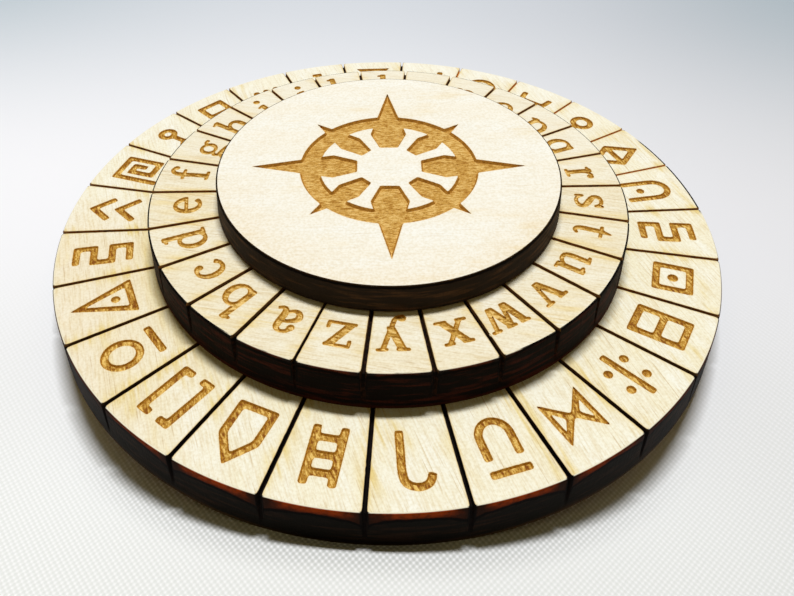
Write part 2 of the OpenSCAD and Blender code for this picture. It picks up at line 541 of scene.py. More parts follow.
def triangulate(points, edges):
    """The points of a triangulation that keeps the edges, where each comes from, and its triangles.

    The triangles run counterclockwise. A point that two edges made where they cross comes from -1.
    """
    flat = [Vector((float(x), float(y))) for x, y in points]
    verts, _, faces, source, _, _ = delaunay_2d_cdt(flat, edges, [], 0, WELD_REACH, True)
    origin = np.array([ids[0] if ids else -1 for ids in source])
    xy = np.array([(v.x, v.y) for v in verts])
    known = origin >= 0
    xy[known] = np.asarray(points, float)[origin[known]]
    tris = np.array(faces)
    a, b, c = xy[tris[:, 0]], xy[tris[:, 1]], xy[tris[:, 2]]
    turned = (b[:, 0] - a[:, 0]) * (c[:, 1] - a[:, 1]) - (b[:, 1] - a[:, 1]) * (c[:, 0] - a[:, 0]) < 0
    tris[turned] = tris[turned][:, ::-1]
    return xy, origin, tris


def winding(points, loops):
    """How many times the loops go round each point."""
    px, py = points[:, 0, None], points[:, 1, None]
    total = np.zeros(len(points), int)
    for loop in loops:
        ahead = np.roll(loop, -1, axis=0)
        x0, y0, x1, y1 = loop[:, 0], loop[:, 1], ahead[:, 0], ahead[:, 1]
        turn = (x1 - x0) * (py - y0) - (px - x0) * (y1 - y0)
        total += ((y0 <= py) & (y1 > py) & (turn > 0)).sum(axis=1)
        total -= ((y0 > py) & (y1 <= py) & (turn < 0)).sum(axis=1)
    return total


def loop_edges(loops):
    edges = []
    start = 0
    for loop in loops:
        edges += ring_edges(start, len(loop))
        start += len(loop)
    return edges


def outline(loops):
    """The union of overlapping loops as clean loops, solid ones counterclockwise and holes clockwise."""
    xy, _, tris = triangulate(np.concatenate(loops), loop_edges(loops))
    solid = tris[winding(xy[tris].mean(axis=1), loops) != 0]
    directed = {(int(t[i]), int(t[(i + 1) % 3])) for t in solid for i in range(3)}
    ahead = {}
    for a, b in sorted(directed):
        if (b, a) not in directed:
            ahead.setdefault(a, []).append(b)
    clean = []
    while ahead:
        first = min(ahead)
        at, chain = first, []
        while True:
            chain.append(at)
            following = ahead[at].pop()
            if not ahead[at]:
                del ahead[at]
            at = following
            if at == first:
                break
        clean.append(xy[chain])
    return clean


def even_steps(loop, step):
    """The loop with its long edges divided and its shortest ones dropped."""
    shortest = step / 5
    kept = [loop[0]]
    for point in np.vstack([loop[1:], loop[:1]]):
        gap = point - kept[-1]
        length = float(np.linalg.norm(gap))
        if length < shortest:
            continue
        parts = max(1, math.ceil(length / step - TINY))
        start = kept[-1]
        kept += [start + gap * (i / parts) for i in range(1, parts + 1)]
    if np.linalg.norm(kept[-1] - kept[0]) < shortest:
        kept.pop()
    return np.array(kept)


def rounded(loop, passes):
    """The loop with its corners rounded off, one step further with each pass."""
    for _ in range(passes):
        loop = (np.roll(loop, 1, axis=0) + 2 * loop + np.roll(loop, -1, axis=0)) / 4
    return loop


def waver(points, seed):
    """Smooth irregular values from -1 to 1 along points."""
    return np.array([noise.noise(Vector((x / WANDER_LENGTH, y / WANDER_LENGTH, seed))) for x, y in points])


def lifted(xy, z):
    """Points of three values, from rows of x and y and their height."""
    return np.column_stack([xy, np.broadcast_to(z, len(xy))])


class Pocket:
    """One engraved figure: the loops of its edge at the face, and its depth."""

    def __init__(self, loops, depth, place, seed, weight=0.0, passes=CORNER_PASSES):
        """place is (angle, radius): the figure's up is outward there, and its origin lies at that radius.

        weight is how far its edge is moved outward, to make it bolder. passes rounds its corners.
        """
        angle, radius = place
        up, left = turning(angle)
        self.depth = depth
        self.loops = []
        for loop in outline(loops):
            loop = even_steps(loop, EDGE_STEP)
            if len(loop) < 3:
                continue
            loop = rounded(loop, passes)
            loop = loop + outward(loop) * (weight + waver(loop, seed) * EDGE_WANDER)[:, None]
            self.loops.append((loop[:, 1:] + radius) * up - loop[:, :1] * left)
        self.edge = np.concatenate(self.loops)

    def inside(self, points):
        return winding(points, self.loops) != 0

    def apart(self, points, distance):
        """True for points that are about as far from the edge as the distance, or farther."""
        gaps = np.linalg.norm(points[:, None] - self.edge[None], axis=2).min(axis=1)
        return gaps > distance * APART_SHARE

    def holds(self, points):
        """True for points inside the figure, found quickly."""
        low, high = self.edge.min(axis=0), self.edge.max(axis=0)
        near = ((points >= low) & (points <= high)).all(axis=1)
        held = np.zeros(len(points), bool)
        held[near] = self.inside(points[near])
        return held

    def walls_foot(self):
        """The loops at the floor, drawn in by the slope of the walls, or by less where there is no room."""
        reach = self.depth * WALL_DRAFT
        feet = []
        for loop in self.loops:
            away = outward(loop)
            shares = np.zeros(len(loop))
            for share in DRAFT_SHARES:
                points = loop - away * (reach * share)
                shares[self.apart(points, reach * share) & self.inside(points)] = share
            for _ in range(DRAFT_PASSES):
                shares = np.minimum(shares, np.minimum(np.roll(shares, 1), np.roll(shares, -1)))
            feet.append(loop - away * (reach * shares)[:, None])
        return feet

    def offset(self, distance):
        """Points beside the edge, outside it for a positive distance, that keep clear of all of the edge."""
        points = np.concatenate([loop + outward(loop) * distance for loop in self.loops])
        return points[self.apart(points, abs(distance)) & (self.inside(points) == (distance < 0))]


class Corners:
    """Corners of a mesh as it grows, with their scorch."""

    def __init__(self):
        self.points = []
        self.burns = []
        self.count = 0

    def add(self, points, burn):
        """Adds corners, and gives the number of the first."""
        start = self.count
        self.points.append(points)
        self.burns.append(np.broadcast_to(np.asarray(burn, float), len(points)))
        self.count += len(points)
        return start


class Sheet(Corners):
    """The corners of a flat face, and the edges that its triangles keep."""

    def __init__(self):
        super().__init__()
        self.edges = []

    def ring(self, points, burn):
        self.edges += ring_edges(self.add(points, burn), len(points))

    def chain(self, points, burn):
        start = self.add(points, burn)
        self.edges += [(start + i, start + i + 1) for i in range(len(points) - 1)]
        return start

    def triangles(self, plain_z):
        """Points, scorch and triangles. A crossing of two edges gets the plain height and full scorch."""
        points = np.concatenate(self.points)
        xy, origin, tris = triangulate(points[:, :2], self.edges)
        z = points[origin, 2]
        burn = np.concatenate(self.burns)[origin]
        z[origin < 0] = plain_z
        burn[origin < 0] = 1.0
        return lifted(xy, z), burn, tris


class Shell(Corners):
    """The mesh of a disc, with the slots of its faces."""

    def __init__(self):
        super().__init__()
        self.faces = []
        self.slots = []

    def face(self, corners, slot):
        self.faces.append(tuple(int(c) for c in corners))
        self.slots.append(slot)

    def strip(self, upper, lower, count, slot):
        """Quads between two rings of corners that both run counterclockwise, seen from outside the solid."""
        for i in range(count):
            j = (i + 1) % count
            picked = slot[i] if isinstance(slot, list) else slot
            self.face((upper + j, upper + i, lower + i, lower + j), picked)

    def welded(self):
        """Corners with doubles joined, and faces that still have three corners."""
        points = np.concatenate(self.points)
        keys = np.round(points / WELD_REACH).astype(np.int64)
        _, first, place = np.unique(keys, axis=0, return_index=True, return_inverse=True)
        place = place.ravel()
        faces, slots = [], []
        for corners, slot in zip(self.faces, self.slots):
            ids = [int(place[c]) for c in corners]
            ids = [c for i, c in enumerate(ids) if c != ids[i - 1]]
            if len(set(ids)) > 2 and len(set(ids)) == len(ids):
                faces.append(ids)
                slots.append(slot)
        return points[first], np.concatenate(self.burns)[first], faces, slots


# Slots of a disc's mesh
FACE, SCORE, FLOOR, WALL, EDGE, UNDER = range(6)


class Disc:
    """One laser-cut disc, with its score lines and engravings."""

    def __init__(
        self,
        node,
        turn,
        grain,
        hole_r,
        start_r,
        notch_h,
        pockets,
        light_score=None,
        golden_arc=None,
        burnt_arc=None,
    ):
        """turn and grain are the angles of the disc and of its wood on the wheel.

        start_r is where the score lines begin under the disc above, or None for a disc without them.
        The score line numbered light_score, and those between the two angles of golden_arc, are narrower.
        Between the two angles of burnt_arc the top corner of the side is charred.
        """
        self.node = node
        self.turn = turn
        self.grain = grain
        self.radius, self.low, self.high = size_of(node)
        self.top = self.high - self.low
        self.cut_z = self.top - SCORE_DEPTH
        self.foot_z = self.top - notch_h
        self.hole_r = hole_r
        self.start_r = start_r
        self.notch_h = notch_h
        self.pockets = pockets
        self.light_score = light_score
        self.golden_arc = golden_arc
        self.burnt_arc = burnt_arc
        self.rim_r = self.radius - EDGE_TAPER
        self.band_r = self.rim_r - RIM_BAND
        self.angles, self.offsets, self.burns = self.columns()
        # the columns that run along the floor of a score line
        self.notched = np.abs(np.abs(self.offsets) - SCORE_FLOOR_W / 2) < TINY

    def half_width(self, i):
        """Half the width of score line i at the face."""
        start, end = self.golden_arc or (0.0, 0.0)
        if i == self.light_score or start < score_angle(i) < end:
            return LIGHT_SCORE_W / 2
        return SCORE_W / 2 + SCORE_FRONT_W * (math.cos(i * CELL) - 1)

    def columns(self):
        """Angle, sideways offset and scorch of each column of corners around the rim."""
        if self.start_r is None:
            even = np.arange(PLAIN_COLUMNS)
            return even * 2 * math.pi / PLAIN_COLUMNS, np.zeros(PLAIN_COLUMNS), np.zeros(PLAIN_COLUMNS)
        margin = (SCORE_W / 2 + FAR_BURN[0]) / self.rim_r
        between = np.linspace(margin, CELL - margin, CELL_COLUMNS)[1:-1]
        scorch = [1.0, 1.0, NEAR_BURN[1], FAR_BURN[1]]
        angles, shifts, burns = [], [], []
        for i in range(CELLS):
            half = self.half_width(i)
            right = [SCORE_FLOOR_W / 2, half, half + NEAR_BURN[0], half + FAR_BURN[0]]
            start = score_angle(i)
            angles += [start] * (2 * len(right)) + list(start + between)
            shifts += [-o for o in reversed(right)] + right + [0.0] * len(between)
            burns += scorch[::-1] + scorch + [0.0] * len(between)
        return np.array(angles), np.array(shifts), np.array(burns)

    def ring(self, r, z, flare=0.0):
        """Corners on all columns at radius r and height z, which may be one value or one for each column.

        flare widens the score lines there, but not their floor.
        """
        r = np.broadcast_to(np.asarray(r, float), len(self.angles))
        offsets = self.offsets + np.where(self.notched, 0.0, np.sign(self.offsets) * flare)
        # around the hole the offsets shrink, so that the columns don't cross
        a = self.angles + np.arcsin(offsets / np.maximum(r, self.rim_r / 2))
        return lifted(np.stack([r * np.cos(a), r * np.sin(a)], axis=1), z)

    def side_r(self, z):
        return self.radius - EDGE_TAPER * z / (self.top - RIM_ROUND)

    def notch_r(self, z):
        """Radius of the floor of a rim notch at a height."""
        lean = NOTCH_DEPTH * (z - self.foot_z) / self.notch_h
        return np.minimum(self.rim_r - lean, self.side_r(z))

    def rows(self):
        """Rows of the rim from the face down: radius and height, the same in a notch, and the flare."""
        face_r = self.rim_r - RIM_ROUND
        shoulder = self.top - RIM_ROUND
        cut_r = self.notch_r(self.cut_z)
        plain = [(self.band_r, self.top), (face_r - BURNT_CORNER, self.top), (face_r, self.top)]
        cut = [(self.band_r, self.cut_z), ((self.band_r + cut_r) / 2, self.cut_z), (cut_r, self.cut_z)]
        for i in range(1, ROUND_STEPS + 1):
            a = math.pi / 2 * i / ROUND_STEPS
            plain.append((face_r + RIM_ROUND * math.sin(a), self.top - RIM_ROUND * (1 - math.cos(a))))
        plain += [(self.side_r(z), z) for z in np.linspace(shoulder, self.foot_z, NOTCH_ROWS)[1:]]
        notch_rows = len(plain) - len(cut)
        cut += [(self.notch_r(z), z) for z in np.linspace(self.cut_z, self.foot_z, notch_rows + 1)[1:]]
        shares = FACE_FLARES + [1.0 - (self.top - z) / self.notch_h for _, z in plain[len(FACE_FLARES):]]
        below = [(self.side_r(z), z) for z in np.linspace(self.foot_z, 0, FOOT_ROWS)[1:]]
        return plain + below, cut + below, [SCORE_FLARE * share for share in shares] + [0.0] * len(below)

    def rim_slots(self, row, cut_z):
        """Slots of the faces between a row of the rim, whose notches are at cut_z, and the row above it."""
        sloped = self.notched | np.roll(self.notched, -1)
        if row >= len(FACE_FLARES):
            return [SCORE if s and cut_z >= self.foot_z - TINY else EDGE for s in sloped]
        start, end = self.burnt_arc or (0.0, 0.0)
        burnt = (self.angles > start) & (self.angles < end) & (row == len(FACE_FLARES) - 1)
        return [SCORE if s else EDGE if b else FACE for s, b in zip(sloped, burnt)]

    def add_rim(self, shell):
        """The outermost band of the face, the side and the underside up to the hole."""
        plain, cut, flares = self.rows()
        scorch = [0.0, 0.0, RIM_BURN] + [1.0] * len(plain)
        count = len(self.angles)
        above = None
        for i, ((r, z), (cut_r, cut_z)) in enumerate(zip(plain, cut)):
            points = self.ring(np.where(self.notched, cut_r, r), np.where(self.notched, cut_z, z), flares[i])
            start = shell.add(points, np.maximum(self.burns, scorch[i]))
            if above is not None:
                shell.strip(above, start, count, self.rim_slots(i, cut_z))
            above = start
        if self.hole_r == 0:
            shell.face([above + i for i in reversed(range(count))], UNDER)
            return
        low_hole = shell.add(self.ring(self.hole_r, 0.0), HOLE_BURN)
        shell.strip(above, low_hole, count, UNDER)
        high_hole = shell.add(self.ring(self.hole_r, self.top), HOLE_BURN)
        shell.strip(low_hole, high_hole, count, EDGE)

    def beside(self, i, r, offset, z):
        """Points at distances r from the axis, on a line beside the middle of score line i."""
        ahead, left = turning(score_angle(i))
        offset = np.broadcast_to(offset, len(r))
        return lifted(np.sqrt(r**2 - offset**2)[:, None] * ahead + offset[:, None] * left, z)

    def score_points(self, sheet):
        """Adds the score lines of the face: two edges, two floor lines, and scorch beside them."""
        steps = round((self.band_r - self.start_r) / SCORE_STEP)
        reach = np.linspace(self.start_r, self.band_r, steps + 1)
        scorch_reach = np.linspace(self.start_r, self.band_r, steps * 2 + 1)[:-1]
        # the groove's inner end slopes
        floor_reach = reach.copy()
        floor_reach[0] += SCORE_DEPTH / 2
        for i in range(CELLS):
            half = self.half_width(i)
            ends = []
            for side in (-1, 1):
                spots = [Vector((r * SWAY_ALONG, i * SWAY_APART, side)) for r in reach]
                sway = np.array([noise.noise(spot) for spot in spots]) * SCORE_WANDER
                sway[-1] = 0
                edge = self.beside(i, reach, side * (half + sway), self.top)
                floor = self.beside(i, floor_reach, side * SCORE_FLOOR_W / 2, self.cut_z)
                ends.append((sheet.chain(edge, 1.0), sheet.chain(floor, 1.0)))
                for gap, burn in (NEAR_BURN, FAR_BURN):
                    sheet.add(self.clear(self.beside(i, scorch_reach, side * (half + gap), self.top)), burn)
            sheet.edges += zip(*ends)

    def plain(self, points):
        """True for points that lie outside all engravings."""
        kept = np.ones(len(points), bool)
        for pocket in self.pockets:
            kept &= ~pocket.holds(points[:, :2])
        return kept

    def clear(self, points):
        return points[self.plain(points)]

    def add_face(self, shell):
        """The top face inside the rim band, with its score lines and the edges of its engravings."""
        sheet = Sheet()
        sheet.ring(self.ring(self.band_r, np.where(self.notched, self.cut_z, self.top)), self.burns)
        if self.hole_r:
            sheet.ring(self.ring(self.hole_r, self.top), HOLE_BURN)
        if self.start_r:
            self.score_points(sheet)
        for pocket in self.pockets:
            for loop in pocket.loops:
                sheet.ring(lifted(loop, self.top), ENGRAVED_BURN)
            for gap, burn in (NEAR_BURN, FAR_BURN):
                sheet.add(self.clear(lifted(pocket.offset(gap), self.top)), burn * ENGRAVED_BURN)
        points, burn, tris = sheet.triangles(self.top)
        middle = points[tris].mean(axis=1)[:, :2]
        start = shell.add(points, burn)
        for tri in tris[self.plain(middle) & (np.linalg.norm(middle, axis=1) > self.hole_r)]:
            shell.face(tri + start, SCORE if points[tri, 2].min() < self.top - TINY else FACE)

    def add_pocket(self, shell, pocket):
        """The walls and the floor of one engraving."""
        floor_z = self.top - pocket.depth
        lowered = pocket.walls_foot()
        sheet = Sheet()
        for loop, inner in zip(pocket.loops, lowered):
            high = shell.add(lifted(loop, self.top), ENGRAVED_BURN)
            low = shell.add(lifted(inner, floor_z), 1.0)
            shell.strip(low, high, len(loop), WALL)
            sheet.ring(lifted(inner, floor_z), 1.0)
        sheet.add(lifted(pocket.offset(-FLOOR_EDGE - pocket.depth * WALL_DRAFT), floor_z), 0.0)
        points, burn, tris = sheet.triangles(floor_z)
        start = shell.add(points, burn)
        for tri in tris[winding(points[tris].mean(axis=1)[:, :2], lowered) > 0]:
            shell.face(tri + start, FLOOR)

    def build(self, body, materials):
        """Makes the disc's object, which stands for its CAD node. materials are keyed by the mesh's slots."""
        shell = Shell()
        self.add_rim(shell)
        self.add_face(shell)
        for pocket in self.pockets:
            self.add_pocket(shell, pocket)
        points, burn, faces, slots = shell.welded()
        points[:, 2] += self.low
        points[:, :2] = points[:, :2] @ turning(self.turn)
        mesh = bpy.data.meshes.new(self.node + "_cut")
        mesh.from_pydata((points * MM).tolist(), [], faces)
        layer = mesh.attributes.new("burn", "FLOAT", "POINT")
        layer.data.foreach_set("value", burn.astype(np.float32))
        for material in materials.values():
            mesh.materials.append(material)
        order = list(materials)
        mesh.polygons.foreach_set("material_index", [order.index(s) for s in slots])
        mesh.polygons.foreach_set("use_smooth", [True] * len(faces))
        mesh.set_sharp_from_angle(angle=SHARP_ANGLE)
        mesh.validate()
        piece = put(self.node + "_cut", mesh)
        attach(piece, body)
        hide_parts(self.node)


# Materials

# Width of the blend beside the radius of painted warm shade in millimetres, and at the ends of the two arcs
# in radians
PAINTED_SHADE_FADE = 3.6
GOLDEN_FADE = 0.1
BURNT_FADE = 0.04


def srgb(r, g, b):
    """A colour as written on a screen, from 0 to 255, for a shader socket."""
    values = [c / 255 for c in (r, g, b)]
    return tuple([c / 12.92 if c <= 0.04045 else ((c + 0.055) / 1.055) ** 2.4 for c in values] + [1.0])


class Nodes:
    """A node tree under construction, with arithmetic on its sockets and on numbers."""

    def __init__(self, tree):
        self.tree = tree

    def add(self, kind, **settings):
        node = self.tree.nodes.new("ShaderNode" + kind)
        for name, value in settings.items():
            setattr(node, name, value)
        return node

    def feed(self, socket, value):
        """Links another socket to this one, or sets this one's value."""
        if isinstance(value, bpy.types.NodeSocket):
            self.tree.links.new(value, socket)
        else:
            socket.default_value = value

    def math(self, operation, *values):
        node = self.add("Math", operation=operation)
        for socket, value in zip(node.inputs, values):
            self.feed(socket, value)
        return node.outputs[0]

    def minus(self, a, b):
        return self.math("SUBTRACT", a, b)

    def larger(self, a, b):
        return self.math("MAXIMUM", a, b)

    def plus(self, total, *others):
        for other in others:
            total = self.math("ADD", total, other)
        return total

    def times(self, product, *others):
        for other in others:
            product = self.math("MULTIPLY", product, other)
        return product

    def spread(self, value, low, high, to_low=0.0, to_high=1.0):
        """Maps the range from low to high smoothly onto another, and holds its ends."""
        node = self.add("MapRange", interpolation_type="SMOOTHSTEP")
        names = ("Value", "From Min", "From Max", "To Min", "To Max")
        for name, setting in zip(names, (value, low, high, to_low, to_high)):
            self.feed(node.inputs[name], setting)
        return node.outputs[0]

    def fade(self, value, low, high):
        """1 below the range from low to high, and 0 above it."""
        return self.spread(value, low, high, 1.0, 0.0)

    def mix(self, factor, a, b, blend="MIX"):
        node = self.add("Mix", data_type="RGBA", blend_type=blend)
        self.feed(node.inputs[0], factor)
        self.feed(node.inputs[6], a)
        self.feed(node.inputs[7], b)
        return node.outputs[2]

    def tinted(self, colour, tint, factor):
        """The colour multiplied by a tint, as far as the factor says."""
        return self.mix(factor, colour, self.mix(1.0, colour, tint, "MULTIPLY"))

    def noise(self, vector, scale, detail, rough=0.55):
        node = self.add("TexNoise")
        self.feed(node.inputs["Vector"], vector)
        self.feed(node.inputs["Scale"], scale)
        self.feed(node.inputs["Detail"], detail)
        self.feed(node.inputs["Roughness"], rough)
        return node.outputs["Fac"]


class Finish(Nodes):
    """A material under construction. Its coordinates are in millimetres on the wheel."""

    def __init__(self, name, roughness, specular=0.3):
        self.material = bpy.data.materials.new(name)
        self.material.use_nodes = True
        super().__init__(self.material.node_tree)
        self.shader = self.tree.nodes["Principled BSDF"]
        self.feed(self.shader.inputs["Roughness"], roughness)
        self.feed(self.shader.inputs["Specular IOR Level"], specular)
        self.place = self.add("TexCoord").outputs["Object"]
        split = self.add("SeparateXYZ")
        self.feed(split.inputs[0], self.place)
        self.x, self.y, self.z = [self.math("DIVIDE", output, MM) for output in split.outputs]
        self.radius = self.math("SQRT", self.plus(self.times(self.x, self.x), self.times(self.y, self.y)))
        self.direction = self.math("ARCTAN2", self.y, self.x)

    def grain(self, turn, lengthwise, across, detail=2, rough=0.55, shift=0.0):
        """Noise drawn out along the grain; lengthwise and across are features to the millimetre."""
        mapping = self.add("Mapping", vector_type="TEXTURE")
        self.feed(mapping.inputs["Vector"], self.place)
        self.feed(mapping.inputs["Rotation"], (0, 0, turn))
        self.feed(mapping.inputs["Scale"], (MM / lengthwise, MM / across, MM))
        self.feed(mapping.inputs["Location"], (shift * MM, shift * MM, 0))
        return self.noise(mapping.outputs[0], 1.0, detail, rough)

    def speckle(self, size, detail=2, rough=0.55):
        """Noise whose features have this size in millimetres."""
        return self.noise(self.place, 1 / (size * MM), detail, rough)

    def standing(self, across, upright, detail):
        """Noise whose features have this width and height in millimetres."""
        mapping = self.add("Mapping")
        self.feed(mapping.inputs["Vector"], self.place)
        self.feed(mapping.inputs["Scale"], (1 / (across * MM), 1 / (across * MM), 1 / (upright * MM)))
        return self.noise(mapping.outputs[0], 1.0, detail)

    def beside_score(self, turn):
        """Distance in millimetres from the middle of the nearest score line of a disc."""
        cell = self.math("DIVIDE", self.minus(self.direction, FRONT + turn), CELL)
        off = self.math("ABSOLUTE", self.minus(cell, self.math("ROUND", cell)))
        return self.times(off, CELL, self.radius)

    def burn(self):
        """The scorch that the mesh carries."""
        return self.add("Attribute", attribute_name="burn").outputs["Fac"]

    def bump(self, height, distance, strength):
        node = self.add("Bump")
        self.feed(node.inputs["Strength"], strength)
        self.feed(node.inputs["Distance"], distance * MM)
        self.feed(node.inputs["Height"], height)
        self.feed(self.shader.inputs["Normal"], node.outputs[0])

    def done(self, colour):
        self.feed(self.shader.inputs["Base Color"], colour)
        return self.material


def golden_share(f, disc, shift, painted_shade_r):
    """Golden streaks along the grain, in patches and beside the score lines, and a painted warm shade at the
    left inside painted_shade_r.
    """
    patches = f.grain(disc.grain, 0.1, 0.2, shift=shift + 120)
    streaks = f.grain(disc.grain, 0.16, 1.9, detail=3, shift=shift + 160)
    golden = f.spread(patches, 0.56, 0.72, 0.0, 0.8)
    if disc.start_r:
        beside = f.fade(f.beside_score(disc.turn), 0.2, 1.9)
        golden = f.larger(golden, f.times(beside, f.spread(patches, 0.42, 0.6)))
    golden = f.times(golden, f.spread(streaks, 0.4, 0.66, 0.2, 1.0))
    if painted_shade_r:
        # painted shade: the warm shade beside the disc above, strongest at the left
        inside = f.times(f.fade(f.radius, painted_shade_r, painted_shade_r + PAINTED_SHADE_FADE), f.spread(f.x, -26, 2, 0.75, 0.15))
        golden = f.larger(golden, f.times(inside, f.spread(streaks, 0.3, 0.6, 0.6, 1.0)))
    return golden


def face_wood(name, disc, pale, band, gold, shift, lines=1.0, painted_shade_r=None, painted_back_sheen=None, browner_front_rim=None):
    """Bare face veneer: hairlines, pores and soft bands on pale wood, with golden streaks.

    Inside the radius painted_shade_r the wood is more golden at the left, a painted warm shade beside the
    disc above. It is also a little darker and greyer at the front left.
    It grows paler from the first to the second distance of bleached behind the axis, by its third value: a
    painted sheen.
    Between the two radii of browner_front_rim, it is a little browner at the front. shift moves the pattern.
    """
    f = Finish(name, roughness=0.6, specular=0.25)
    fibres = f.grain(disc.grain, 0.45, 5.0, rough=0.6, shift=shift)
    hairs = f.grain(disc.grain, 0.26, 4.6, detail=1, shift=shift + 60)
    bands = f.grain(disc.grain, 0.04, 0.35, shift=shift + 80)
    fuzz = f.speckle(0.28)
    colour = f.mix(f.spread(bands, 0.34, 0.68), pale, band)
    colour = f.mix(f.spread(f.speckle(3.2), 0.36, 0.68, 0.0, 0.6), colour, band)
    if painted_shade_r:
        colour = f.tinted(colour, srgb(251, 244, 236), f.times(f.fade(f.x, -34, -8), f.fade(f.y, -8, 6)))
    colour = f.mix(golden_share(f, disc, shift, painted_shade_r), colour, gold)
    colour = f.tinted(colour, srgb(226, 206, 164), f.spread(fibres, 0.42, 0.72, 0.0, 0.4 * lines))
    colour = f.tinted(colour, srgb(206, 178, 128), f.spread(hairs, 0.64, 0.78, 0.0, 0.5 * lines))
    colour = f.tinted(colour, srgb(232, 222, 198), f.spread(fuzz, 0.36, 0.7, 0.0, 0.4))
    if painted_back_sheen:
        # painted sheen: the face grows paler towards the back, where the view grazes it
        start, end, share = painted_back_sheen
        colour = f.mix(f.spread(f.y, start, end, 0.0, share), colour, srgb(253, 251, 244))
    if browner_front_rim:
        tan = f.times(f.spread(f.radius, *browner_front_rim), f.fade(f.y, -12, 0))
        colour = f.tinted(colour, srgb(250, 240, 222), f.times(tan, f.spread(fuzz, 0.2, 0.7, 0.3, 0.6)))
    burn = f.burn()
    colour = f.mix(f.spread(burn, 0.0, 0.45, 0.0, 0.6), colour, srgb(232, 196, 112))
    colour = f.mix(f.spread(burn, 0.45, 1.0, 0.0, 0.85), colour, srgb(84, 48, 22))
    f.bump(f.plus(fibres, fuzz), 0.03, 0.5)
    return f.done(colour)


def score_char(name, disc, char, warm, brown=None):
    """Charred score lines, with browned walls at the left, right and back of the disc.

    The disc's lighter score line is brown on the face, and the ones in its golden arc are golden there.
    """
    f = Finish(name, roughness=0.8, specular=0.05)
    patchy = f.speckle(0.5, detail=4)
    drop = f.minus(disc.high, f.z)
    on_face = f.fade(drop, 0.6, 0.9)
    colour = f.mix(f.spread(patchy, 0.4, 0.72), char, warm)
    lighter = f.times(f.spread(f.y, -32, -4), f.spread(patchy, 0.3, 0.6, 0.5, 1.0))
    colour = f.mix(f.times(f.fade(drop, 0.1, 0.45), lighter), colour, srgb(214, 152, 84))
    if brown:
        away = f.math("ABSOLUTE", f.minus(f.direction, score_angle(disc.light_score) + disc.turn))
        colour = f.mix(f.times(f.fade(away, CELL * 0.3, CELL * 0.5), on_face), colour, brown)
    if disc.golden_arc:
        start, end = disc.golden_arc
        inside = f.times(f.spread(f.direction, start, start + GOLDEN_FADE), on_face)
        inside = f.times(inside, f.fade(f.direction, end - GOLDEN_FADE, end))
        colour = f.mix(inside, colour, srgb(234, 178, 98))
    f.bump(patchy, 0.04, 0.6)
    return f.done(colour)


def engraved_floor(name, disc, light, middle, dark, fine=1.0):
    """Floor of an engraving: browned wood with torn fibres along the grain, as many times finer as fine."""
    f = Finish(name, roughness=0.7, specular=0.15)
    mottle = f.speckle(0.2 / fine, rough=0.6)
    fibres = f.grain(disc.grain, 1.1 * fine, 4.2 * fine, rough=0.6)
    relief = f.plus(f.times(mottle, 0.25), f.times(fibres, 0.55), f.times(f.speckle(1.1), 0.2))
    colour = f.mix(f.spread(relief, 0.4, 0.5), dark, middle)
    colour = f.mix(f.spread(relief, 0.5, 0.6), colour, light)
    f.bump(relief, 0.12, 0.8)
    return f.done(colour)


def engraved_wall(name, light, dark):
    """Sloping wall of an engraving, browned by the beam."""
    f = Finish(name, roughness=0.75, specular=0.1)
    return f.done(f.mix(f.spread(f.speckle(0.25, detail=3), 0.35, 0.68), dark, light))


